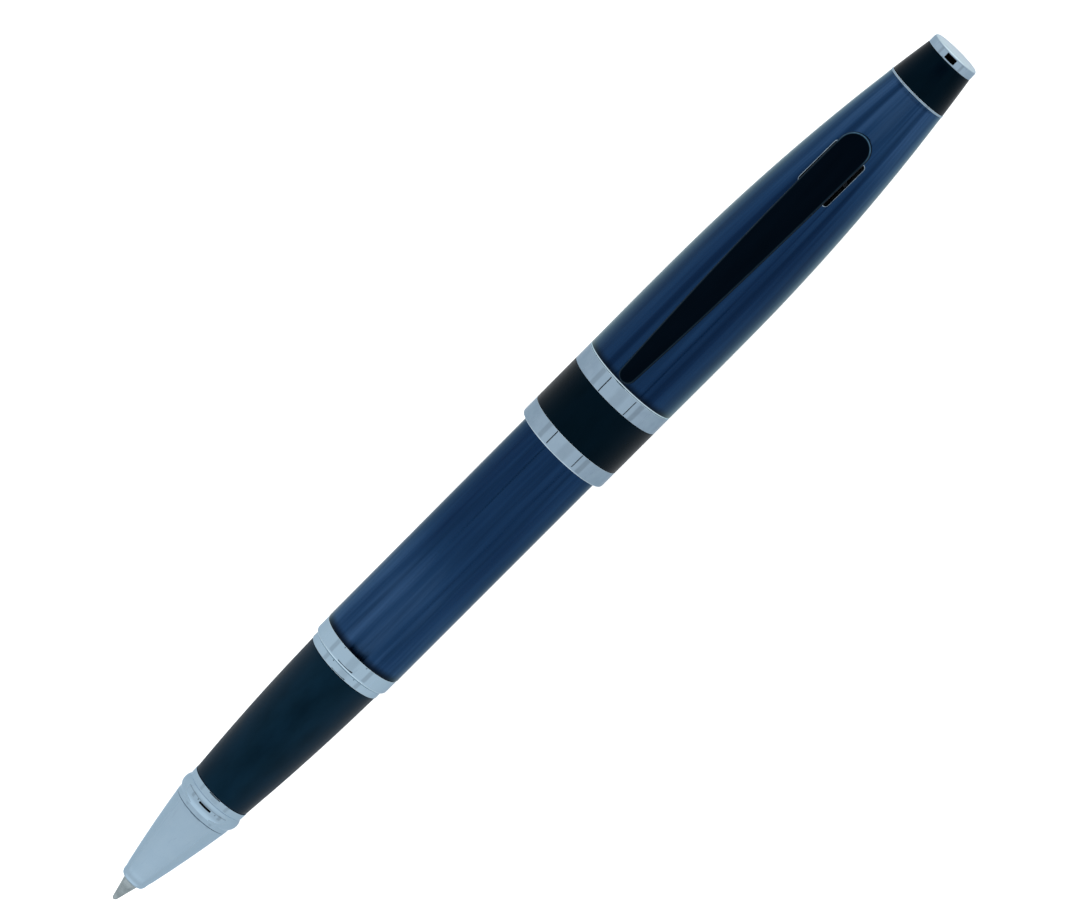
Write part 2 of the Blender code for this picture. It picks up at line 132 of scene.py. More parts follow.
def walk(links):
    """Orders joined points into one run. A run that is open is ended on the axis."""
    loose = sorted(point for point, near in links.items() if len(near) == 1)
    run, last = [loose[0] if loose else min(links)], None
    while True:
        onward = [point for point in sorted(links[run[-1]]) if point != last]
        if not onward or (onward[0] == run[0] and len(run) > 2):
            break
        last = run[-1]
        run.append(onward[0])
    if loose and run[0][1] > 0:
        run.insert(0, (run[0][0], 0.0))
    if loose and run[-1][1] > 0:
        run.append((run[-1][0], 0.0))
    return run, not loose


def turn_at(before, here, after):
    """How sharply a run turns at a point, in radians."""
    back, on = Vector(here) - Vector(before), Vector(after) - Vector(here)
    if back.length < 1e-9 or on.length < 1e-9:
        return 0.0
    return back.angle(on)


def rounded_corner(before, here, after, radius, steps=3):
    """Points that round a corner off, tangent to both of its sides."""
    here = Vector(here)
    back, on = Vector(before) - here, Vector(after) - here
    reach = min(radius, CORNER_SHARE * back.length, CORNER_SHARE * on.length)
    start, end = here + back.normalized() * reach, here + on.normalized() * reach
    points = []
    for i in range(steps + 1):
        t = i / steps
        points.append(tuple((1 - t) ** 2 * start + 2 * t * (1 - t) * here + t**2 * end))
    return points


def direction_at(before, here, after):
    """Direction of a smooth run at a point. A much longer side keeps its own direction."""
    back, on = Vector(here) - Vector(before), Vector(after) - Vector(here)
    if back.length > LONG_SIDE * on.length:
        return back.normalized()
    if on.length > LONG_SIDE * back.length:
        return on.normalized()
    return (back.normalized() * on.length + on.normalized() * back.length).normalized()


def bridge(before, start, end, after, steps):
    """Points of a curve between two others that leaves and arrives in the run's directions."""
    leave, arrive = direction_at(before, start, end), direction_at(start, end, after)
    start, end = Vector(start), Vector(end)
    span = (end - start).length
    points = []
    for i in range(1, steps):
        t = i / steps
        curve = (2 * t**3 - 3 * t**2 + 1) * start + (3 * t**2 - 2 * t**3) * end
        curve += (t**3 - 2 * t**2 + t) * span * leave + (t**3 - t**2) * span * arrive
        points.append(tuple(curve))
    return points


def split(start, end):
    """Points inside a straight stretch, with one close to each end to keep the shading flat."""
    length = (Vector(end) - Vector(start)).length
    if length < 3 * SUPPORT:
        return []
    inside = max(1, math.ceil(length / LONGEST_STEP))
    shares = [SUPPORT / length] + [i / inside for i in range(1, inside)] + [1 - SUPPORT / length]
    return [tuple(Vector(start).lerp(Vector(end), share)) for share in shares]


def refine(run, closed, rounding):
    """Rounds the corners of a run, curves its smooth stretches and splits its long ones."""
    count = len(run)
    turns = [turn_at(run[i - 1], run[i], run[(i + 1) % count]) for i in range(count)]
    if not closed:
        turns[0] = turns[-1] = math.pi
    ends = []
    for i, here in enumerate(run):
        if turns[i] > CORNER and (closed or 0 < i < count - 1):
            ends.append(rounded_corner(run[i - 1], here, run[(i + 1) % count], rounding))
        else:
            ends.append([here])
    fine = []
    for i in range(count if closed else count - 1):
        j = (i + 1) % count
        fine += ends[i]
        start, end = ends[i][-1], ends[j][0]
        if all(turns[k] > CORNER or turns[k] < STRAIGHT for k in (i, j)):
            fine += split(start, end)
            continue
        before = tuple(2 * Vector(start) - Vector(end)) if turns[i] > CORNER else run[i - 1]
        after = tuple(2 * Vector(end) - Vector(start)) if turns[j] > CORNER else run[(j + 1) % count]
        length = (Vector(end) - Vector(start)).length
        steps = max(FEWEST_STEPS, min(MOST_STEPS, int(length / CURVE_STEP)))
        fine += bridge(before, start, end, after, steps)
    if not closed:
        fine += ends[-1]
    return fine


def add_between(run, closed, low, high, step):
    """Adds points so that no stretch between two stations of a run is longer than a step."""
    dense = []
    for i, here in enumerate(run):
        dense.append(here)
        if i == len(run) - 1 and not closed:
            break
        there = run[(i + 1) % len(run)]
        if min(here[0], there[0]) >= high or max(here[0], there[0]) <= low:
            continue
        count = math.ceil(abs(there[0] - here[0]) / step)
        dense += [tuple(Vector(here).lerp(Vector(there), k / count)) for k in range(1, count)]
    return dense


# ---------------------------------------------------------------- meshes


def finished_mesh(name, verts, faces, rim=None):
    """A smooth-shaded object from millimetre points, welded and with its faces turned outwards.

    rim gives each point a share from 0 to 1 that a material can read; the clip's finish paints its edge
    highlight from it.
    """
    mesh = bpy.data.meshes.new(name)
    mesh.from_pydata([tuple(c * MM for c in point) for point in verts], [], faces)
    if rim:
        mesh.attributes.new("rim", "FLOAT", "POINT").data.foreach_set("value", rim)
    shape = bmesh.new()
    shape.from_mesh(mesh)
    bmesh.ops.remove_doubles(shape, verts=shape.verts, dist=WELD * MM)
    bmesh.ops.recalc_face_normals(shape, faces=shape.faces)
    shape.to_mesh(mesh)
    shape.free()
    mesh.shade_smooth()
    mesh.set_sharp_from_angle(angle=SHARP_EDGE)
    thing = bpy.data.objects.new(name, mesh)
    bpy.context.scene.collection.objects.link(thing)
    return thing


def round_angles(count):
    """Angles that part a full turn into equal steps."""
    return [math.tau * k / count for k in range(count)]


def band(near, far, count):
    """Faces between two rings of points. near and far are the numbers of their first points."""
    faces = []
    for i in range(count):
        j = (i + 1) % count
        faces.append([near + i, near + j, far + j, far + i])
    return faces


def spin(name, run, closed, segments, radius_change=None):
    """A mesh turned about the pen's axis. radius_change(x, radius, angle) may add a thread."""
    verts, rings = [], []
    for x, radius in run:
        if radius < 1e-6:
            rings.append([len(verts)] * segments)
            verts.append((x, 0.0, AXIS_Z))
            continue
        rings.append(list(range(len(verts), len(verts) + segments)))
        for angle in round_angles(segments):
            r = radius + (radius_change(x, radius, angle) if radius_change else 0.0)
            verts.append((x, r * math.sin(angle), AXIS_Z - r * math.cos(angle)))
    faces = []
    for i in range(len(run) if closed else len(run) - 1):
        near, far = rings[i], rings[(i + 1) % len(run)]
        for k in range(segments):
            m = (k + 1) % segments
            face = list(dict.fromkeys([near[k], near[m], far[m], far[k]]))
            if len(face) > 2:
                faces.append(face)
    return finished_mesh(name, verts, faces)


def loft(name, rings):
    """A closed mesh through rings with equally many points, capped at both ends."""
    count = len(rings[0])
    verts = [point for ring in rings for point in ring]
    faces = [list(range(count))[::-1], list(range(len(verts) - count, len(verts)))]
    for start in range(0, len(verts) - count, count):
        faces += band(start, start + count, count)
    return finished_mesh(name, verts, faces)


def wire(name, path, radius, sides=16):
    """A round wire along a path. Extra rings at its ends, (along, wide) in radii, make them domed."""
    path = [Vector(point) for point in path]
    rings, side = [], None
    for i, here in enumerate(path):
        ahead = (path[min(i + 1, len(path) - 1)] - path[max(i - 1, 0)]).normalized()
        side = ahead.orthogonal() if side is None else side - ahead * side.dot(ahead)
        side.normalize()
        other = ahead.cross(side)
        shares = [(0.0, 1.0)]
        if i == 0:
            shares = [(-0.35, 0.45), (-0.2, 0.85), (0.0, 1.0)]
        if i == len(path) - 1:
            shares = [(0.0, 1.0), (0.2, 0.85), (0.35, 0.45)]
        for along, wide in shares:
            ring = []
            for angle in round_angles(sides):
                out = side * math.cos(angle) + other * math.sin(angle)
                ring.append(tuple(here + ahead * along * radius + out * wide * radius))
            rings.append(ring)
    return loft(name, rings)


def adopt(piece, node, material):
    """Puts a piece in a CAD node's place, on its body, with its finish."""
    if material:
        piece.data.materials.clear()
        piece.data.materials.append(material)
    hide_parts(node)
    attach(piece, BODY_OF[node])


def cut(thing, tool):
    """Cuts a tool out of a piece and removes the tool. New faces keep the tool's material."""
    change = thing.modifiers.new("cut", "BOOLEAN")
    change.operation = "DIFFERENCE"
    change.object = tool
    change.solver = "EXACT"
    change.material_mode = "TRANSFER"
    bpy.context.view_layer.update()
    depsgraph = bpy.context.evaluated_depsgraph_get()
    baked = bpy.data.meshes.new_from_object(thing.evaluated_get(depsgraph))
    old = thing.data
    thing.modifiers.clear()
    thing.data = baked
    bpy.data.meshes.remove(old)
    bpy.data.objects.remove(tool, do_unlink=True)
    thing.data.shade_smooth()
    thing.data.set_sharp_from_angle(angle=SHARP_EDGE)


def plan_rectangle(low_x, high_x, half_y, corner, steps=8, along=24, across=16):
    """Outline of a rectangle with round corners, seen from above.

    steps, along and across are how many parts a corner, a long side and an end are split into.
    """
    plan = []
    centre, half_x = (low_x + high_x) / 2, (high_x - low_x) / 2
    for quarter, (sx, sy) in enumerate(((1, 1), (-1, 1), (-1, -1), (1, -1))):
        middle = Vector((centre + sx * (half_x - corner), sy * (half_y - corner)))
        arc = []
        for i in range(steps + 1):
            angle = math.radians(90 * (quarter + i / steps))
            arc.append(middle + corner * Vector((math.cos(angle), math.sin(angle))))
        plan += arc
        if quarter % 2:
            side = Vector((0, -2 * sy * (half_y - corner)))
            count = across
        else:
            side = Vector((-2 * sx * (half_x - corner), 0))
            count = along
        plan += [arc[-1] + side * i / count for i in range(1, count)]
    return [tuple(point) for point in plan]


# ---------------------------------------------------------------- materials


class Graph:
    """Short ways to add and link shader nodes in a tree."""

    def __init__(self, tree):
        self.tree = tree

    def set(self, socket, value):
        if isinstance(value, bpy.types.NodeSocket):
            self.tree.links.new(value, socket)
        elif isinstance(value, tuple) and len(value) == 3 and socket.type == "RGBA":
            socket.default_value = (*value, 1.0)
        else:
            socket.default_value = value

    def node(self, kind, settings=None, **inputs):
        made = self.tree.nodes.new("ShaderNode" + kind)
        for key, value in (settings or {}).items():
            setattr(made, key, value)
        for key, value in inputs.items():
            self.set(made.inputs[key.replace("_", " ")], value)
        return made

    def math(self, operation, a, b=0.0):
        made = self.node("Math", {"operation": operation})
        self.set(made.inputs[0], a)
        self.set(made.inputs[1], b)
        return made.outputs[0]

    def ramp(self, value, low, high, out_low=0.0, out_high=1.0, smooth=False):
        """Maps a value from one range to another, clamped."""
        made = self.node("MapRange", {"interpolation_type": "SMOOTHSTEP" if smooth else "LINEAR"})
        for i, number in enumerate((value, low, high, out_low, out_high)):
            self.set(made.inputs[i], number)
        return made.outputs[0]

    def mix(self, share, a, b):
        made = self.node("Mix", {"data_type": "RGBA"})
        self.set(made.inputs[0], share)
        self.set(made.inputs[6], a)
        self.set(made.inputs[7], b)
        return made.outputs[2]

    def mix_number(self, share, a, b):
        made = self.node("Mix", {"data_type": "FLOAT"})
        for i, value in ((0, share), (2, a), (3, b)):
            self.set(made.inputs[i], value)
        return made.outputs[0]


class Finish(Graph):
    """A procedural material. Its coordinates are millimetres from the pen's axis, at rest."""

    def __init__(self, name):
        self.material = bpy.data.materials.new(name)
        self.material.use_nodes = True
        super().__init__(self.material.node_tree)
        self.shader = self.tree.nodes["Principled BSDF"]
        shift = self.node("VectorMath", {"operation": "SUBTRACT"})
        self.set(shift.inputs[0], self.node("TexCoord").outputs["Object"])
        shift.inputs[1].default_value = (0.0, 0.0, AXIS_Z * MM)
        grow = self.node("VectorMath", {"operation": "SCALE"}, Scale=1 / MM)
        self.set(grow.inputs[0], shift.outputs[0])
        self.at = grow.outputs[0]
        parts = self.node("SeparateXYZ", Vector=self.at)
        self.x, self.y, self.z = parts.outputs

    def surface(self, **inputs):
        for key, value in inputs.items():
            self.set(self.shader.inputs[key.replace("_", " ")], value)

    def stretched(self, x, y, z):
        grow = self.node("VectorMath", {"operation": "MULTIPLY"})
        self.set(grow.inputs[0], self.at)
        grow.inputs[1].default_value = (x, y, z)
        return grow.outputs[0]

    def wrapped(self, along, around):
        """Coordinates that follow the turned surface: lines of one angle stay together."""
        radius = self.math("POWER", self.math("ADD", self.square(self.y), self.square(self.z)), 0.5)
        radius = self.math("MAXIMUM", radius, 0.05)
        made = self.node("CombineXYZ")
        self.set(made.inputs[0], self.math("MULTIPLY", self.x, along))
        for i, part in ((1, self.y), (2, self.z)):
            self.set(made.inputs[i], self.math("MULTIPLY", self.math("DIVIDE", part, radius), around))
        return made.outputs[0]

    def square(self, value):
        return self.math("MULTIPLY", value, value)

    def noise(self, at, scale=1.0, detail=3.0, roughness=0.5):
        made = self.node("TexNoise", Scale=scale, Detail=detail, Roughness=roughness)
        self.set(made.inputs["Vector"], at)
        return made.outputs["Fac"]

    def bump(self, height, strength, distance=0.02, under=None):
        made = self.node("Bump", Strength=strength, Distance=distance * MM, Height=height)
        if under is not None:
            self.set(made.inputs["Normal"], under)
        return made.outputs["Normal"]


DEEP_BLUE = (0.003, 0.018, 0.058)
MIDDLE_BLUE = (0.009, 0.037, 0.1)
BRIGHT_BLUE = (0.03, 0.078, 0.176)
FLECK_BLUE = (0.03, 0.08, 0.17)
# colour of the painted shade on the blue behind its front seam
SEAM_SHADE_BLUE = (0.0008, 0.004, 0.011)
# bright bare-metal colour, painted in as the highlight line at the lacquer's front edge
EDGE_HIGHLIGHT_METAL = (0.5, 0.62, 0.7)


def blue_lacquer(name, light, dark, front, edge_tint, bands=(), highlight_edge=0.0):
    """Deep blue over metal brushed along the pen, under a thin clear coat, with painted shade at its front
    seam.

    light and dark are the stations of the most and least painted sheen, which stands in for light from above
    and is stronger on the top of the tube than on its sides. bands are painted dark reflection bands:
    (degrees from the top towards -Y, half width in degrees, depth). highlight_edge is how far the lacquer
    stops short of the front, leaving a bright bare-metal rim painted in as the highlight line along the edge.
    """
    f = Finish(name)
    lean = f.math("ARCTAN2", f.math("MULTIPLY", f.y, -1.0), f.z)
    streak = f.noise(f.wrapped(0.03, 4.0), 1.0, 3.0, 0.6)
    hair = f.noise(f.wrapped(0.05, 26.0), 1.0, 3.0, 0.65)
    # painted sheen: lighter from the dark station towards the light one and on the top of the tube, standing
    # in for light from above
    above = f.ramp(f.math("DIVIDE", f.z, f.math("MAXIMUM", f.math("ABSOLUTE", f.y), 0.4)), 1.0, 4.0)
    painted_sheen = f.math("MULTIPLY", f.ramp(f.x, light, dark, 1.0, 0.0, True), f.mix_number(above, 0.8, 1.0))
    tone = f.math("ADD", f.ramp(streak, 0.3, 0.7), f.math("MULTIPLY", f.math("SUBTRACT", hair, 0.5), 0.8))
    tone = f.math("ADD", f.math("MULTIPLY", tone, 0.56), f.math("MULTIPLY", painted_sheen, 0.5))
    # painted reflection bands: darker stripes at fixed angles round the tube, stronger towards the dark
    # station
    for degrees, half_width, depth in bands:
        off = f.math("ABSOLUTE", f.math("SUBTRACT", lean, math.radians(degrees)))
        half = math.radians(half_width)
        band = f.ramp(off, half * 0.4, half * 1.4, depth, 0.0, True)
        band = f.math("MULTIPLY", band, f.ramp(f.x, dark, light, 1.0, 0.25, True))
        tone = f.math("SUBTRACT", tone, band)
    colour = f.mix(f.ramp(tone, 0.0, 0.55), DEEP_BLUE, MIDDLE_BLUE)
    colour = f.mix(f.ramp(tone, 0.55, 1.0), colour, BRIGHT_BLUE)
    fleck = f.noise(f.stretched(0.5, 1.0, 1.0), 14.0, 2.0)
    colour = f.mix(f.ramp(fleck, 0.64, 0.76, 0.0, 0.25), colour, FLECK_BLUE)
    # painted shade on the blue just behind its front seam
    painted_seam_shade = f.ramp(f.x, front + 0.15, front + 1.3, 0.95, 0.0, True)
    colour = f.mix(painted_seam_shade, colour, SEAM_SHADE_BLUE)
    # a bright bare-metal rim at the front edge, painted in as the highlight line there
    if highlight_edge:
        front_edge_highlight = f.ramp(f.x, front + highlight_edge - 0.04, front + highlight_edge, 1.0, 0.0)
        colour = f.mix(front_edge_highlight, colour, EDGE_HIGHLIGHT_METAL)
    f.surface(
        Base_Color=colour,
        Metallic=1.0,
        Specular_Tint=edge_tint,
        Roughness=f.ramp(hair, 0.3, 0.7, 0.13, 0.24),
        Coat_Weight=0.07,
        Coat_Roughness=0.03,
        Normal=f.bump(hair, 0.12, 0.02),
    )
    return f.material


NOSE_TONE = (0.31, 0.42, 0.52)
BARREL_RING_TONE = (0.345, 0.465, 0.57)
CAP_RING_TONE = (0.29, 0.385, 0.48)
CAP_SIDE_SHADE_TONE = (0.16, 0.22, 0.29)
HAZE_TONE = (0.36, 0.46, 0.55)
SMEAR_TONE = (0.22, 0.29, 0.37)
# colour of the painted highlight on the chrome bevels
BEVEL_HIGHLIGHT_TONE = (0.66, 0.77, 0.82)


def chrome():
    """Cool bright plating with tiny handling marks, darker on the cap, with painted shade down the cap's
    sides.

    The bevels behind the front ring get a painted highlight.
    """
    f = Finish("chrome")
    wave = f.noise(f.stretched(0.4, 1.0, 1.0), 0.35, 2.0)
    haze = f.noise(f.at, 0.9, 3.0)
    smear = f.noise(f.wrapped(0.5, 9.0), 1.0, 2.0)
    nose_end = box_mm("front_ring")[0].x
    barrel_ring_end = box_mm("barrel_front_ring")[1].x
    cap_start = box_mm("cap_lip_ring")[0].x
    grip_start = box_mm("section_grip")[0].x
    tone = f.mix(f.ramp(f.x, nose_end, nose_end + 10.0), NOSE_TONE, BARREL_RING_TONE)
    tone = f.mix(f.ramp(f.x, barrel_ring_end, cap_start), tone, CAP_RING_TONE)
    # painted shade: darker chrome down the cap's sides, away from the top
    side = f.math("MULTIPLY", f.ramp(f.x, barrel_ring_end, 0.0), f.ramp(f.math("ABSOLUTE", f.y), 2.0, 4.6))
    tone = f.mix(f.math("MULTIPLY", side, 0.4), tone, CAP_SIDE_SHADE_TONE)
    tone = f.mix(f.ramp(haze, 0.35, 0.65, 0.0, 0.2), tone, HAZE_TONE)
    tone = f.mix(f.ramp(smear, 0.62, 0.8, 0.0, 0.22), tone, SMEAR_TONE)
    # painted highlight on the bevels that face along the pen, behind the front ring
    facing = f.node("SeparateXYZ", Vector=f.node("NewGeometry").outputs["Normal"]).outputs[0]
    bevel_highlight = f.ramp(f.math("ABSOLUTE", facing), 0.35, 0.7)
    bevel_highlight = f.math("MULTIPLY", bevel_highlight, f.ramp(f.x, grip_start + 1.0, grip_start + 2.0, 0.0, 0.8))
    tone = f.mix(bevel_highlight, tone, BEVEL_HIGHLIGHT_TONE)
    scuff = f.noise(f.stretched(1.0, 0.15, 0.15), 30.0, 2.0)
    f.surface(
        Base_Color=tone,
        Metallic=1.0,
        Specular_Tint=(0.8, 0.88, 0.95),
        Roughness=f.ramp(haze, 0.3, 0.7, 0.03, 0.055),
        Normal=f.bump(scuff, 0.03, 0.01, f.bump(wave, 0.05, 0.15)),
    )
    return f.material


def black_surface(name, tone, shine, tint, roughness, grain_scale, grain_strength):
    """A near-black finish with slight patchiness and a fine surface grain."""
    f = Finish(name)
    patch = f.noise(f.stretched(0.4, 1.0, 1.0), 0.5, 3.0)
    grain = f.noise(f.at, grain_scale, 2.0)
    lighter = tuple(t * 1.6 for t in tone)
    f.surface(
        Base_Color=f.mix(f.ramp(patch, 0.3, 0.7), tone, lighter),
        Roughness=f.ramp(patch, 0.3, 0.7, roughness - 0.05, roughness + 0.05),
        Specular_IOR_Level=shine,
        Specular_Tint=tint,
        Normal=f.bump(grain, grain_strength, 0.01),
    )
    return f.material


def clip_black():
    """Black coating with a painted highlight along the clip's edges, in a lighter metallic blue."""
    f = Finish("clip_black")
    patch = f.noise(f.stretched(0.15, 1.0, 1.0), 0.6, 3.0)
    rim = f.node("Attribute", {"attribute_name": "rim"}).outputs["Fac"]
    mottle = f.noise(f.stretched(0.3, 1.0, 1.0), 4.0, 3.0)
    # painted highlight along the clip's edges, broken up by noise
    clip_edge_highlight = f.math("MULTIPLY", rim, f.ramp(mottle, 0.3, 0.6, 0.6, 1.0))
    base = f.mix(f.ramp(patch, 0.3, 0.7), (0.0001, 0.0006, 0.0022), (0.0003, 0.0014, 0.004))
    f.surface(
        Base_Color=f.mix(clip_edge_highlight, base, (0.07, 0.15, 0.23)),
        Metallic=f.math("MULTIPLY", clip_edge_highlight, 0.6),
        Roughness=f.ramp(patch, 0.3, 0.7, 0.22, 0.34),
        Specular_IOR_Level=0.04,
        Specular_Tint=(0.25, 0.65, 1.0),
        Normal=f.bump(mottle, 0.04, 0.01),
    )
    return f.material


def tooled_metal(name, dark, light, low, high, lines_stretch=(1.0, 0.02, 0.02), scale=12.0):
    """Machined or drawn metal with fine tool lines and a little staining.

    dark and light are its colours, low and high its roughness between and on the lines.
    """
    f = Finish(name)
    lines = f.noise(f.stretched(*lines_stretch), scale, 3.0)
    stain = f.noise(f.at, 0.7, 3.0)
    f.surface(
        Base_Color=f.mix(f.ramp(stain, 0.35, 0.65), dark, light),
        Metallic=1.0,
        Roughness=f.ramp(lines, 0.3, 0.7, low, high),
        Normal=f.bump(lines, 0.3, 0.01),
    )
    return f.material


def moulded(name, tone, roughness, shine=0.4):
    """Moulded plastic or rubber with a slight orange peel."""
    f = Finish(name)
    peel = f.noise(f.at, 5.0, 2.0)
    drift = f.noise(f.at, 0.4, 2.0)
    lighter = tuple(t * 1.5 + 0.002 for t in tone)
    f.surface(
        Base_Color=f.mix(drift, tone, lighter),
        Roughness=f.ramp(peel, 0.3, 0.7, roughness - 0.05, roughness + 0.08),
        Specular_IOR_Level=shine,
        Normal=f.bump(peel, 0.12, 0.01),
    )
    return f.material


def fibre():
    """Bundled ink-soaked fibres that run along the core."""
    f = Finish("ink_fibre")
    strands = f.noise(f.stretched(0.02, 1.0, 1.0), 8.0, 4.0, 0.7)
    soak = f.noise(f.at, 0.5, 2.0)
    f.surface(
        Base_Color=f.mix(f.math("MULTIPLY", strands, soak), (0.006, 0.012, 0.09), (0.05, 0.09, 0.4)),
        Roughness=f.ramp(strands, 0.3, 0.7, 0.75, 0.95),
        Normal=f.bump(strands, 0.8, 0.05),
    )
    return f.material


BARREL_FRONT = box_mm("barrel_tube")[0].x
SHELL_LOW, SHELL_HIGH = box_mm("cap_tube")
LENGTHWISE = (0.02, 1.0, 1.0)
EVEN = (1, 1, 1)
# painted dark reflection bands on the cap's blue: (degrees from the top towards -Y, half width in degrees,
# depth)
CAP_REFLECTION_BANDS = ((37.0, 3.5, 0.85), (25.5, 0.9, 0.6), (-23.5, 4.5, 0.55))

MATERIALS = {
    "chrome": chrome(),
    "tip_steel": tooled_metal("tip_steel", (0.2, 0.235, 0.25), (0.33, 0.38, 0.4), 0.22, 0.38),
    "carbide": tooled_metal("carbide", (0.09, 0.1, 0.11), (0.16, 0.17, 0.18), 0.15, 0.3, EVEN, 60.0),
    "grip_black": black_surface(
        "grip_black",
        tone=(0.0013, 0.0078, 0.017),
        shine=0.1,
        tint=(0.25, 0.75, 1.0),
        roughness=0.42,
        grain_scale=9.0,
        grain_strength=0.1,
    ),
    "black_lacquer": black_surface(
        "black_lacquer",
        tone=(0.0002, 0.0016, 0.0044),
        shine=0.07,
        tint=(0.2, 0.75, 1.0),
        roughness=0.3,
        grain_scale=3.0,
        grain_strength=0.04,
    ),
    "clip_black": clip_black(),
    "brass": tooled_metal("brass", (0.52, 0.34, 0.12), (0.72, 0.5, 0.2), 0.18, 0.36),
    "black_plastic": moulded("black_plastic", (0.012, 0.012, 0.014), 0.45),
    "liner_plastic": moulded("liner_plastic", (0.05, 0.052, 0.056), 0.5),
    "holder_plastic": moulded("holder_plastic", (0.02, 0.035, 0.15), 0.3, 0.5),
    "refill_metal": tooled_metal(
        "refill_metal", (0.5, 0.51, 0.53), (0.66, 0.67, 0.69), 0.22, 0.36, LENGTHWISE, 6.0
    ),
    "ink_fibre": fibre(),
    "rubber": moulded("rubber", (0.006, 0.006, 0.007), 0.6, 0.3),
    "spring_steel": tooled_metal(
        "spring_steel", (0.42, 0.43, 0.45), (0.6, 0.61, 0.63), 0.16, 0.3, EVEN, 8.0
    ),
}
BARREL_BLUE = blue_lacquer(
    "blue_lacquer_barrel",
    light=BARREL_FRONT + 9.0,
    dark=BARREL_FRONT + 22.0,
    front=BARREL_FRONT,
    edge_tint=(0.6, 0.7, 0.76),
)
CAP_BLUE = blue_lacquer(
    "blue_lacquer_cap",
    light=SHELL_HIGH.x - 2.0,
    dark=SHELL_HIGH.x - 26.0,
    front=SHELL_LOW.x,
    edge_tint=(0.8, 0.97, 1.0),
    bands=CAP_REFLECTION_BANDS,
    highlight_edge=0.2,
)
CUT_EDGE = tooled_metal("cut_edge", (0.2, 0.27, 0.34), (0.34, 0.43, 0.5), 0.12, 0.2)
DARK_STEEL = tooled_metal("dark_steel", (0.02, 0.024, 0.03), (0.045, 0.05, 0.06), 0.25, 0.4)


def material_of(node):
    return MATERIALS[SLOT_OF[node]]


# ---------------------------------------------------------------- turned pieces

VISIBLE_SEGMENTS = 160
HIDDEN_SEGMENTS = 96
BARREL_RING_REACH = 0.045  # how far the barrel's front ring closes the gap to the section

# The pieces that show, each with the rounding of its edges.
VISIBLE = {
    "barrel_tube": 0.22,
    "nose_cone": 0.15,
    "front_ring": 0.06,
    "section_grip": 0.15,
    "section_rear_ring": 0.04,
    "barrel_front_ring": EDGE_ROUNDING,
    "cap_lip_ring": 0.17,
    "cap_band": 0.06,
    "cap_upper_ring": 0.17,
    "cap_top_trim": 0.05,
    "cap_top_collar": 0.08,
    "cap_finial": 0.12,
}
HIDDEN = (
    "writing_ball",
    "refill_tip",
    "refill_feed_holder",
    "refill_tube",
    "ink_reservoir",
    "ink_feed_rod",
    "refill_tail_plug",
    "section_o_ring",
    "barrel_end_plug",
    "cap_inner_tube",
    "cap_liner",
    "finial_screw",
)


def turned(node, segments, rounding=EDGE_ROUNDING, ahead=0.0):
    """A finely turned copy of a turned CAD node. ahead moves its front face towards the tip."""
    run, closed = walk(cad_outline(node))
    front = min(x for x, radius in run)
    run = [(x - ahead if x < front + 1e-6 else x, radius) for x, radius in run]
    return spin(node + "_fine", refine(run, closed, rounding), closed, segments)


for node, rounding in VISIBLE.items():
    ahead = BARREL_RING_REACH if node == "barrel_front_ring" else 0.0
    finish = BARREL_BLUE if node == "barrel_tube" else material_of(node)
    adopt(turned(node, VISIBLE_SEGMENTS, rounding, ahead), node, finish)
for node in HIDDEN:
    adopt(turned(node, HIDDEN_SEGMENTS), node, material_of(node))

# ---------------------------------------------------------------- threads

SCREW = frame["record"]["behaviour"]["couplings"][0]
PITCH = math.tau / SCREW["ratio"] / MM
THREAD_TURNS = 4
THREAD_RADIUS = 4.45
RIDGE_RADIUS = 0.26
GROOVE_RADIUS = 0.4
GROOVE_TURNS = (-3, THREAD_TURNS + 4)  # the groove runs out at both ends of the bushing
GROOVED_WITHIN = 0.2  # a surface further outside the thread's radius than this isn't grooved
THREAD_LEAD_IN = 0.25
THREAD_STEP = 0.06
THREAD_ROUNDING = 0.06
RUN_INS_PER_TURN = 6  # a ridge or groove reaches full height over one turn divided by this
BUSHING_BORE = THREAD_RADIUS + 0.12
BUSHING_LOW, BUSHING_HIGH = box_mm("barrel_thread_bushing")
THREAD_START = BUSHING_LOW.x + THREAD_LEAD_IN
THREAD_END = THREAD_START + PITCH * THREAD_TURNS


def helix_profile(x, angle, profile_radius, first_turn, last_turn):
    """Height of a round thread profile above the thread's pitch radius, or None between turns."""
    turn = round((x - THREAD_START) / PITCH - angle / math.tau) + angle / math.tau
    off = x - THREAD_START - PITCH * turn
    if abs(off) >= profile_radius or not first_turn <= turn <= last_turn:
        return None
    run_in = min((turn - first_turn) * RUN_INS_PER_TURN, (last_turn - turn) * RUN_INS_PER_TURN, 1.0)
    return math.sqrt(profile_radius**2 - off**2) * run_in


def male_thread(x, radius, angle):
    """How far the section's ridge stands out. It stands on the tenon's outer face only."""
    ridge = helix_profile(x, angle, RIDGE_RADIUS, 0, THREAD_TURNS)
    return ridge if ridge and radius > THREAD_RADIUS - 0.01 else 0.0


def female_thread(x, radius, angle):
    """How far the bushing's bore is cut back by its groove."""
    groove = helix_profile(x, angle, GROOVE_RADIUS, *GROOVE_TURNS)
    if groove is None or radius > THREAD_RADIUS + GROOVED_WITHIN:
        return 0.0
    return max(0.0, THREAD_RADIUS + groove - radius)


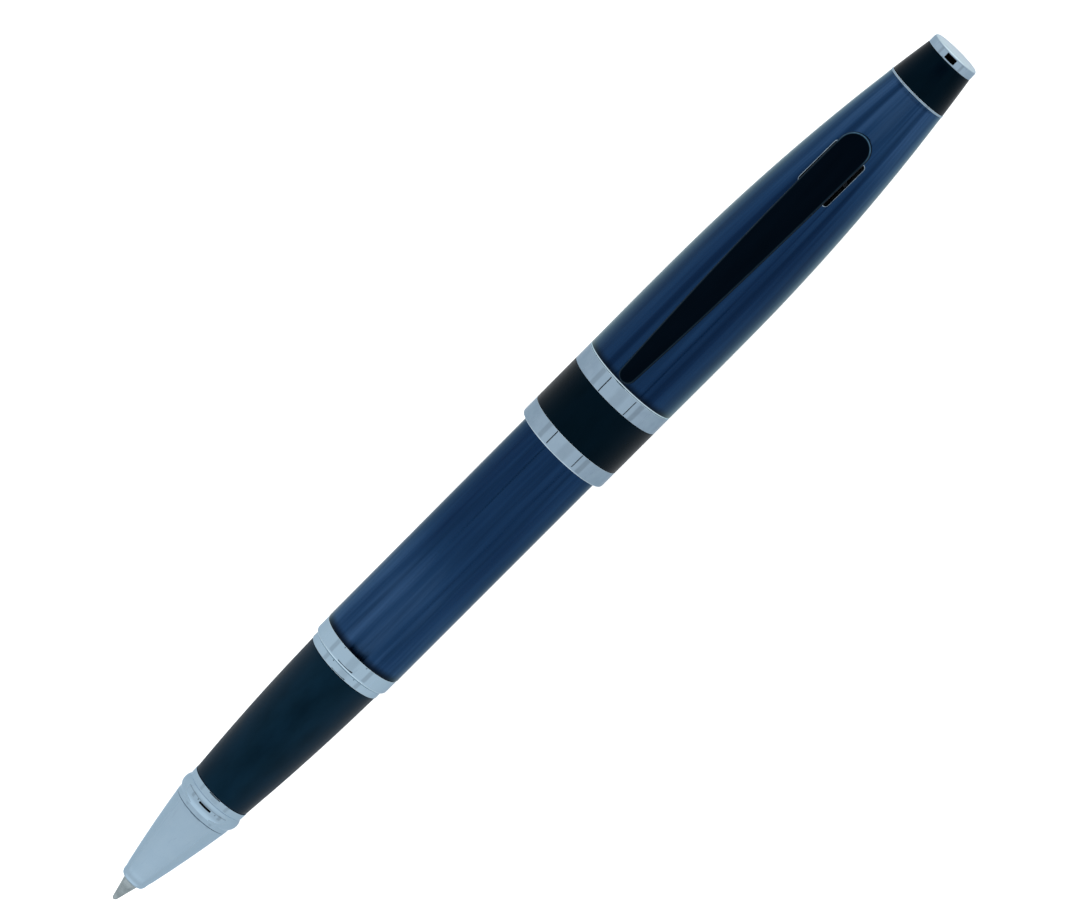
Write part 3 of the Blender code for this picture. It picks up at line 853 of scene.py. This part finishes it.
def build_thread_tube():
    """Section liner. Its CAD outline crosses the ridge, so the ridge's points are left out first."""
    links = cad_outline("section_thread_tube")
    low, high = THREAD_START - 2 * RIDGE_RADIUS, THREAD_END + 2 * RIDGE_RADIUS
    ridge_points = {p for p in links if low < p[0] <= THREAD_END + 0.1 and p[1] > THREAD_RADIUS - 0.4}
    links = {p: near - ridge_points for p, near in links.items() if p not in ridge_points}
    loose = [p for p, near in links.items() if len(near) == 1]
    if len(loose) == 2:
        links[loose[0]].add(loose[1])
        links[loose[1]].add(loose[0])
    run, closed = walk(links)
    run = refine(run, closed, THREAD_ROUNDING)
    run = add_between(run, closed, low, high, THREAD_STEP)
    return spin("section_thread_tube_fine", run, closed, HIDDEN_SEGMENTS, male_thread)


def build_thread_bushing():
    """Threaded insert of the barrel, with a groove that the section's thread runs in."""
    outer = (BUSHING_HIGH.z - BUSHING_LOW.z) / 2
    run = [
        (BUSHING_LOW.x, BUSHING_BORE),
        (BUSHING_LOW.x, outer),
        (BUSHING_HIGH.x, outer),
        (BUSHING_HIGH.x, BUSHING_BORE),
    ]
    run = refine(run, True, THREAD_ROUNDING)
    run = add_between(run, True, BUSHING_LOW.x, BUSHING_HIGH.x, THREAD_STEP)
    return spin("barrel_thread_bushing_fine", run, True, HIDDEN_SEGMENTS, female_thread)


adopt(build_thread_tube(), "section_thread_tube", material_of("section_thread_tube"))
adopt(build_thread_bushing(), "barrel_thread_bushing", material_of("barrel_thread_bushing"))

# ---------------------------------------------------------------- cap shell and clip carrier

PIVOT = Vector(JOINTS["clip_flex"]["pos_m"]) / MM
SHELL_ROUNDING = 0.1
SLOT_AHEAD = 3.35
SLOT_BEHIND = 3.38
SLOT_HALF_WIDTH = 2.38
SLOT_CORNER = 0.4
SLOT_FLOOR = 3.5
SLOT_FLARE = 0.18
CUTTER_TOP = SHELL_HIGH.z + 2
POCKET_FLOOR = 2.0
POCKET_HALF_LENGTH = 3.5
POCKET_HALF_WIDTH = 2.3
POCKET_CORNER = 0.3
PIN_RADIUS = 0.5
PIN_HALF_LENGTH = 3.4
PIN_RIM = 0.12
PIN_SIDES = 48
PIN_BORE_GAP = 0.04
PIN_BORE_HALF_LENGTH = 8.0


def surface_height(node, rounding):
    """A function (x, y) that gives a turned node's outer surface as a height above the axis."""
    run, closed = walk(cad_outline(node))
    run = refine(run, closed, rounding)
    sides = [sorted(side) for side in zip(run, run[1:] + run[:1]) if side[0][0] != side[1][0]]

    def height(x, y):
        over = [(a, b) for a, b in sides if a[0] <= x <= b[0]]
        radius = max(a[1] + (b[1] - a[1]) * (x - a[0]) / (b[0] - a[0]) for a, b in over)
        return math.sqrt(max(radius * radius - y * y, 0.0))

    return height


def slot_tool():
    """Cutter for the clip's slot. It flares just below the shell's surface, so the edge is rounded."""
    height = surface_height("cap_tube", SHELL_ROUNDING)

    def ring(offset, level):
        plan = plan_rectangle(
            PIVOT.x - SLOT_AHEAD - offset,
            PIVOT.x + SLOT_BEHIND + offset,
            SLOT_HALF_WIDTH + offset,
            SLOT_CORNER + offset,
        )
        return [(x, y, AXIS_Z + level(x, y)) for x, y in plan]

    rings = [ring(0.0, lambda x, y: SLOT_FLOOR)]
    for degrees in (0, 22, 45, 67):
        a = math.radians(degrees)
        drop = SLOT_FLARE * (1 - math.sin(a))
        rings.append(ring(SLOT_FLARE * (1 - math.cos(a)), lambda x, y: height(x, y) - drop))
    outside = SLOT_FLARE * 2.2
    rings.append(ring(outside, lambda x, y: height(x, y) + SLOT_FLARE * 0.6))
    rings.append(ring(outside, lambda x, y: CUTTER_TOP))
    return loft("slot_tool", rings)


def about_pivot(radius, y, angle):
    """A point on a circle about the clip's pivot."""
    return (PIVOT.x + radius * math.cos(angle), y, PIVOT.z + radius * math.sin(angle))


def pin(name, radius, half_length):
    """A round pin across the pen at the clip's pivot, with broken ends."""
    steps = [(-half_length, 0.0), (-half_length, radius - PIN_RIM), (-half_length + PIN_RIM, radius)]
    steps += [(-y, r) for y, r in reversed(steps)]
    return loft(name, [[about_pivot(r, y, angle) for angle in round_angles(PIN_SIDES)] for y, r in steps])


def pocket_tool():
    """Cutter for the carrier's pocket, with round upright edges."""
    plan = plan_rectangle(
        PIVOT.x - POCKET_HALF_LENGTH,
        PIVOT.x + POCKET_HALF_LENGTH,
        POCKET_HALF_WIDTH,
        POCKET_CORNER,
        steps=6,
        along=6,
        across=6,
    )
    return loft("pocket", [[(x, y, z) for x, y in plan] for z in (AXIS_Z + POCKET_FLOOR, CUTTER_TOP)])


def build_cap_shell():
    shell = turned("cap_tube", VISIBLE_SEGMENTS, SHELL_ROUNDING)
    shell.data.materials.append(CAP_BLUE)
    tool = slot_tool()
    tool.data.materials.append(CUT_EDGE)
    cut(shell, tool)
    return shell


def build_carrier():
    carrier = turned("clip_carrier", HIDDEN_SEGMENTS)
    cut(carrier, pocket_tool())
    cut(carrier, pin("pin_bore", PIN_RADIUS + PIN_BORE_GAP, PIN_BORE_HALF_LENGTH))
    return carrier


adopt(build_cap_shell(), "cap_tube", None)
adopt(build_carrier(), "clip_carrier", material_of("clip_carrier"))
adopt(pin("clip_pivot_pin_fine", PIN_RADIUS, PIN_HALF_LENGTH), "clip_pivot_pin", DARK_STEEL)

# ---------------------------------------------------------------- clip and springs

CLIP_LOW, CLIP_HIGH = box_mm("clip")
CLIP_TIP_HALF_WIDTH = 1.12
CLIP_THICKNESS = 0.9
CLIP_EDGE = 0.3
CLIP_LOWER_EDGE = 0.12
CLIP_CROWN = 0.05
CLIP_FRONT_SPREAD = 1200.0  # the arch falls by the square of the distance over this
CLIP_REAR_SPREAD = 352.0
CLIP_CREST = 37.0
CLIP_HALF_WIDTH = CLIP_HIGH.y
CAD_END_SHARE = math.cos(math.radians(15))  # how far the CAD's faceted round ends reach, in radii
CLIP_TIP = CLIP_LOW.x + CLIP_TIP_HALF_WIDTH * CAD_END_SHARE
CLIP_END = CLIP_HIGH.x - CLIP_HALF_WIDTH * CAD_END_SHARE
RIM_AT = 50  # degrees round the upper edge where the painted highlight is strongest
RIM_FALLOFF = 26
RIM_FAINT = 0.14  # painted highlight along the blade, as a share of that at the wide end
CHEEK_INNER, CHEEK_OUTER = 1.35, 1.95  # distances from the clip's middle plane
CHEEK_HALF_LENGTH = 2.9
CHEEK_BOTTOM, CHEEK_TOP = 2.6, 6.9  # heights above the axis
CHEEK_SQUARENESS = 8  # power of the curve that rounds the plate's corners
CHEEK_SIDES = 64
CHEEK_RIM = 0.06
CHEEK_HOLE = PIN_RADIUS + 0.06
NUB_RADIUS = 0.5
NUB_BEHIND_TIP = 1.35
NUB_CLEARANCE = 0.06


def clip_underside(x):
    """Height of the clip's underside: an arch with its crest over the cap's widest part."""
    spread = CLIP_FRONT_SPREAD if x < CLIP_CREST else CLIP_REAR_SPREAD
    return CLIP_HIGH.z - CLIP_THICKNESS - (x - CLIP_CREST) ** 2 / spread


def clip_half_width(x):
    taper = (CLIP_END - x) / (CLIP_END - CLIP_TIP)
    return CLIP_HALF_WIDTH - (CLIP_HALF_WIDTH - CLIP_TIP_HALF_WIDTH) * taper**2


def clip_plan(arc=28, side=90):
    """Outline of the clip from above: (point, point of its middle line that it belongs to)."""
    plan = []

    def round_end(x, radius, first_angle):
        middle = Vector((x, 0))
        for i in range(arc + 1):
            a = first_angle + math.pi * i / arc
            plan.append((middle + radius * Vector((math.cos(a), math.sin(a))), middle))

    def long_side(y_sign, steps):
        for i in steps:
            x = CLIP_TIP + (CLIP_END - CLIP_TIP) * i / side
            plan.append((Vector((x, y_sign * clip_half_width(x))), Vector((x, 0))))

    round_end(CLIP_TIP, CLIP_TIP_HALF_WIDTH, math.pi / 2)
    long_side(-1, range(1, side))
    round_end(CLIP_END, CLIP_HALF_WIDTH, -math.pi / 2)
    long_side(1, range(side - 1, 0, -1))
    return plan


def clip_blade():
    """Rings of the clip's body, from the middle of its underside, round its edge, to its crown.

    Each ring is (inset from the edge, share of the way to the middle line, height, painted edge highlight).
    The painted highlight is faint along the blade and full at its wide end.
    """
    rings = [(CLIP_LOWER_EDGE, share, 0.0, 0.0) for share in (1.0, 0.5, 0.0)]
    rings += [(0.035, 0.0, 0.035, 0.0), (0.0, 0.0, CLIP_LOWER_EDGE, 0.0)]
    for degrees in range(0, 91, 10):
        a = math.radians(degrees)
        rise = CLIP_THICKNESS - CLIP_EDGE + CLIP_EDGE * math.sin(a)
        # share of the painted edge highlight, strongest partway round the upper edge
        highlight_share = max(0.0, 1 - abs(degrees - RIM_AT) / RIM_FALLOFF)
        rings.append((CLIP_EDGE * (1 - math.cos(a)), 0.0, rise, highlight_share))
    for share in (0.12, 0.3, 0.55, 0.8, 1.0):
        rings.append((CLIP_EDGE, share, CLIP_THICKNESS + CLIP_CROWN * (1 - (1 - share) ** 2), 0.0))
    verts, faces, rim = [], [], []
    plan = clip_plan()
    for inset, share, rise, highlight_share in rings:
        for edge, middle in plan:
            at = edge + (middle - edge).normalized() * inset
            at = at.lerp(middle, share)
            verts.append((at.x, at.y, clip_underside(at.x) + rise))
            wide_end = min(max((at.x - CLIP_END) / CLIP_HALF_WIDTH + 0.4, 0.0), 1.0)
            rim.append(highlight_share * (RIM_FAINT + (1 - RIM_FAINT) * wide_end))
    for ring in range(len(rings) - 1):
        faces += band(ring * len(plan), (ring + 1) * len(plan), len(plan))
    return verts, faces, rim


def cheek_reach(angle):
    """Distance from the pivot to the edge of a cheek plate, in a direction."""
    c, s = math.cos(angle), math.sin(angle)
    length = CHEEK_HALF_LENGTH / abs(c) if abs(c) > 1e-6 else 1e9
    edge_z = AXIS_Z + (CHEEK_TOP if s > 0 else CHEEK_BOTTOM)
    height = (edge_z - PIVOT.z) / s if abs(s) > 1e-6 else 1e9
    return 1 / (length**-CHEEK_SQUARENESS + height**-CHEEK_SQUARENESS) ** (1 / CHEEK_SQUARENESS)


def cheek(low_y, high_y):
    """A plate under the clip's root with the pivot's hole through it and softened rims."""
    verts, faces, count = [], [], CHEEK_SIDES
    levels = (
        (low_y, CHEEK_RIM),
        (low_y + CHEEK_RIM, 0.0),
        (high_y - CHEEK_RIM, 0.0),
        (high_y, CHEEK_RIM),
    )
    for y, inset in levels:
        verts += [about_pivot(CHEEK_HOLE + inset, y, angle) for angle in round_angles(count)]
        verts += [about_pivot(cheek_reach(angle) - inset, y, angle) for angle in round_angles(count)]
    starts = [2 * count * level for level in range(len(levels))]
    for near, far in zip(starts, starts[1:]):
        faces += band(near, far, count) + band(near + count, far + count, count)
    for start in (starts[0], starts[-1]):
        faces += band(start, start + count, count)
    return verts, faces, [0.0] * len(verts)


def nub(around=32, down=10):
    """Small round nub under the clip's tip that holds a pocket's cloth against the cap."""
    verts, faces = [], []
    height = AXIS_Z + SHELL_HIGH.y + NUB_CLEARANCE + NUB_RADIUS
    centre = Vector((CLIP_TIP + NUB_BEHIND_TIP, 0, height))
    for i in range(down + 1):
        drop = math.pi * i / down
        for a in round_angles(around):
            out = Vector((math.sin(drop) * math.cos(a), math.sin(drop) * math.sin(a), math.cos(drop)))
            verts.append(tuple(centre + NUB_RADIUS * out))
    for i in range(down):
        faces += band(i * around, (i + 1) * around, around)
    return verts, faces, [0.0] * len(verts)


def build_clip():
    verts, faces, rim = [], [], []
    cheeks = (cheek(-CHEEK_OUTER, -CHEEK_INNER), cheek(CHEEK_INNER, CHEEK_OUTER))
    for part in (clip_blade(), *cheeks, nub()):
        start = len(verts)
        verts += part[0]
        faces += [[i + start for i in face] for face in part[1]]
        rim += part[2]
    return finished_mesh("clip_fine", verts, faces, rim)


SPRING_TURNS = 4
TURN_POINTS = 36
END_CROWDING = 0.35  # how much closer than even the turns of a spring lie at its ends
REFILL_WIRE = 0.22
REFILL_WIRE_REACH = 0.94  # how far the CAD's faceted wire reaches beyond its coil, in wire radii
CLIP_WIRE = 0.15
CLIP_COIL = 0.85


def spring_path(start, end, point):
    """A coil between two levels. point(angle, level) places it."""
    path, last = [], SPRING_TURNS * TURN_POINTS
    for i in range(last + 1):
        share = i / last
        rise = share - END_CROWDING * math.sin(2 * math.tau * share) / (2 * math.tau)
        path.append(point(math.tau * i / TURN_POINTS, start + (end - start) * rise))
    return path


def build_refill_spring():
    """The spring behind the refill, and the corner of its box at its fixed end."""
    low, high = box_mm("refill_spring")
    radius = (high.z - low.z) / 2 - REFILL_WIRE * REFILL_WIRE_REACH

    def point(angle, level):
        return (level, radius * math.sin(angle), AXIS_Z - radius * math.cos(angle))

    path = spring_path(low.x + REFILL_WIRE, high.x - REFILL_WIRE, point)
    return wire("refill_spring_fine", path, REFILL_WIRE), high


def build_clip_spring():
    """The spring under the clip's tail, and the corner of its box at its foot."""
    low, high = box_mm("clip_spring")
    centre = (low + high) / 2

    def point(angle, level):
        return (centre.x + CLIP_COIL * math.cos(angle), CLIP_COIL * math.sin(angle), level)

    path = spring_path(low.z + CLIP_WIRE, high.z - CLIP_WIRE, point)
    return wire("clip_spring_fine", path, CLIP_WIRE, sides=12), low


adopt(build_clip(), "clip", material_of("clip"))

refill_spring, spring_end = build_refill_spring()
adopt(refill_spring, "refill_spring", material_of("refill_spring"))
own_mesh(refill_spring)
clip_spring, spring_foot = build_clip_spring()
adopt(clip_spring, "clip_spring", material_of("clip_spring"))
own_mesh(clip_spring)

# ---------------------------------------------------------------- stage, light and camera

FLOOR_DROP = 1.65
FLOOR_REACH = 3000.0
TENT_COLOUR = (0.955, 0.985, 1.0)
CAMERA_AIM = Vector((6.6, 0.0, AXIS_Z))
CAMERA_DISTANCE = 787.0
CAMERA_LENS = 214.0
CAMERA_SHIFT = (-0.02323, -0.01317)
LEAN_TO_CAP = math.radians(11.4)
LEAN_TO_SIDE = math.radians(5.0)
ROLL = math.radians(45.09)
TOWARDS = Vector((math.tan(LEAN_TO_CAP), -math.tan(LEAN_TO_SIDE), 1.0)).normalized()
ALONG = (Vector((1, 0, 0)) - TOWARDS * TOWARDS.x).normalized()
ACROSS = TOWARDS.cross(ALONG)

# Each card's lowest and highest (x, y), its height above the axis and its share of the tent's light.
CARDS = {
    "left_strip": ((-90.0, 146.5), (-13.0, 163.5), 300.0, 0.06),
    "right_strip": ((-111.0, -324.5), (-28.0, -301.5), 300.0, 0.06),
    "nose_card": ((-74.0, -32.0), (-52.0, 20.0), 60.0, 0.0),
    "finial_card": ((72.7, -5.0), (75.6, 2.9), 10.0, 0.0),
}
# Each dim band of the tent along the pen: its lean from straight up and its width, in degrees, and its depth.
DIM_BANDS = ((64.5, 12.0, 0.25), (-51.0, 12.0, 0.22), (14.0, 24.0, 0.14))


def flat_sheet(name, low, high, level):
    """A level rectangle between two corners (x, y)."""
    corners = [(low[0], low[1]), (high[0], low[1]), (high[0], high[1]), (low[0], high[1])]
    return finished_mesh(name, [(x, y, level) for x, y in corners], [[0, 1, 2, 3]])


def build_floor():
    """A plain pale floor, just clear of the clip when the cap has turned it underneath."""
    floor = flat_sheet("floor", (-FLOOR_REACH, -FLOOR_REACH), (FLOOR_REACH, FLOOR_REACH), -FLOOR_DROP)
    f = Finish("floor")
    camera_ray = f.node("LightPath").outputs["Is Camera Ray"]
    speckle = f.noise(f.at, 0.05, 2.0)
    f.surface(
        Base_Color=f.mix(speckle, (0.79, 0.8, 0.8), (0.81, 0.82, 0.82)),
        Roughness=0.9,
        Specular_IOR_Level=0.1,
        Emission_Color=(1.0, 1.0, 1.0),
        Emission_Strength=f.mix_number(camera_ray, 0.12, 0.8),
    )
    floor.data.materials.append(f.material)


def build_cards():
    """Dark cards that only show in reflections: two high strips, and two over the nose and the finial."""
    for name, (low, high, height, light) in CARDS.items():
        card = flat_sheet(name, low, high, AXIS_Z + height)
        f = Finish(name)
        f.surface(
            Base_Color=(0.0, 0.0, 0.0),
            Roughness=1.0,
            Specular_IOR_Level=0.0,
            Emission_Color=TENT_COLOUR,
            Emission_Strength=light,
        )
        card.data.materials.append(f.material)
        card.visible_camera = False
        card.visible_diffuse = False
        card.visible_shadow = False


def build_world():
    """A pale tent of light, dimmer in bands along the pen and in one across it, near the camera."""
    world = bpy.data.worlds.new("studio")
    world.use_nodes = True
    bpy.context.scene.world = world
    f = Graph(world.node_tree)
    parts = f.node("SeparateXYZ", Vector=f.node("TexCoord").outputs["Generated"])
    x, y, z = parts.outputs
    lean = f.math("ARCTAN2", f.math("MULTIPLY", y, -1.0), z)
    light = f.ramp(f.math("ABSOLUTE", x), 0.45, 0.95, 1.0, 1.3, True)
    overhead = f.ramp(f.math("ABSOLUTE", x), 0.3, 0.42, 1.0, 0.0, True)
    for centre, width, depth in DIM_BANDS:
        off = f.math("ABSOLUTE", f.math("SUBTRACT", lean, math.radians(centre)))
        half = math.radians(width) / 2
        dim = f.math("MULTIPLY", overhead, f.ramp(off, half * 0.6, half * 1.4, depth, 0.0, True))
        light = f.math("MULTIPLY", light, f.math("SUBTRACT", 1.0, dim))
    off = f.math("ABSOLUTE", f.math("SUBTRACT", x, 0.22))
    light = f.math("MULTIPLY", light, f.ramp(off, 0.045, 0.075, 0.6, 1.0))
    camera_ray = f.node("LightPath").outputs["Is Camera Ray"]
    background = f.tree.nodes["Background"]
    f.set(background.inputs["Color"], f.mix(camera_ray, TENT_COLOUR, (1.0, 1.0, 1.0)))
    f.set(background.inputs["Strength"], f.mix_number(camera_ray, light, 1.15))


def build_lights():
    """One large soft panel overhead that adds light without a reflection of its own."""
    lamp = bpy.data.lights.new("panel", "AREA")
    lamp.shape = "RECTANGLE"
    lamp.size = 0.9
    lamp.size_y = 0.5
    lamp.energy = 0.5
    lamp.color = (0.95, 0.98, 1.0)
    panel = bpy.data.objects.new("panel", lamp)
    panel.location = (0.0, 0.35, 0.7)
    panel.rotation_euler = (-panel.location).to_track_quat("-Z", "Y").to_euler()
    panel.visible_glossy = False
    bpy.context.scene.collection.objects.link(panel)


def build_camera():
    """Almost straight down on the pen, from a little towards its cap, with the cap up to the right."""
    right = ALONG * math.cos(ROLL) - ACROSS * math.sin(ROLL)
    up = ALONG * math.sin(ROLL) + ACROSS * math.cos(ROLL)
    lens = bpy.data.cameras.new("camera")
    lens.sensor_width = 36.0
    lens.lens = CAMERA_LENS
    lens.shift_x, lens.shift_y = CAMERA_SHIFT
    lens.clip_start = 0.01
    camera = bpy.data.objects.new("camera", lens)
    turn = Matrix((right, up, TOWARDS)).transposed().to_4x4()
    camera.matrix_world = Matrix.Translation((CAMERA_AIM + TOWARDS * CAMERA_DISTANCE) * MM) @ turn
    bpy.context.scene.collection.objects.link(camera)
    bpy.context.scene.camera = camera


build_floor()
build_cards()
build_world()
build_lights()
build_camera()
bpy.context.scene.view_settings.view_transform = "Standard"
bpy.context.scene.view_settings.look = "None"
